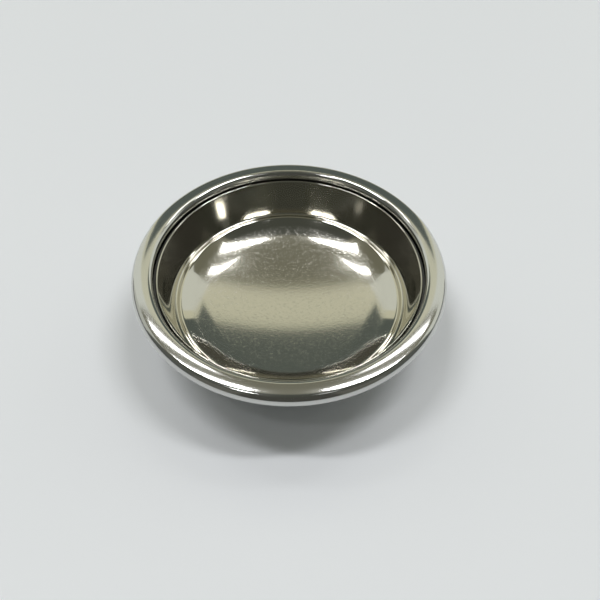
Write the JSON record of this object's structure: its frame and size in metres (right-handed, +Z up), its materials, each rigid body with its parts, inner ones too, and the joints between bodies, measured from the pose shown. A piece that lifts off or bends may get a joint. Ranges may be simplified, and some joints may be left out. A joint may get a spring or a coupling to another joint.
{
  "type": "shaving bowl",
  "caption": "Shallow polished metal shaving bowl with a broad rolled chrome rim, a flared inner wall and a recessed round lather dish.",
  "frame": {"origin": "middle of the underside of the non-slip pad, on the surface that the bowl stands on", "axes": "+Z up along the bowl's axis of revolution, towards the rim; +X and +Y any two square directions in the table"},
  "size_m": [0.1, 0.1, 0.028],
  "materials": {
    "chrome_plate": "mirror polished chrome plate over spun steel",
    "nickel_plate": "warm nickel plate, polished on the wall and cove, satin grain on the dish floor",
    "sealant": "matte",
    "pad_rubber": "matte"
  },
  "bodies": {
    "root": {"outer_shell": "chrome_plate", "inner_bowl": "nickel_plate", "sealant_bead": "sealant", "foot_pad": "pad_rubber"}
  },
  "joints": []
}
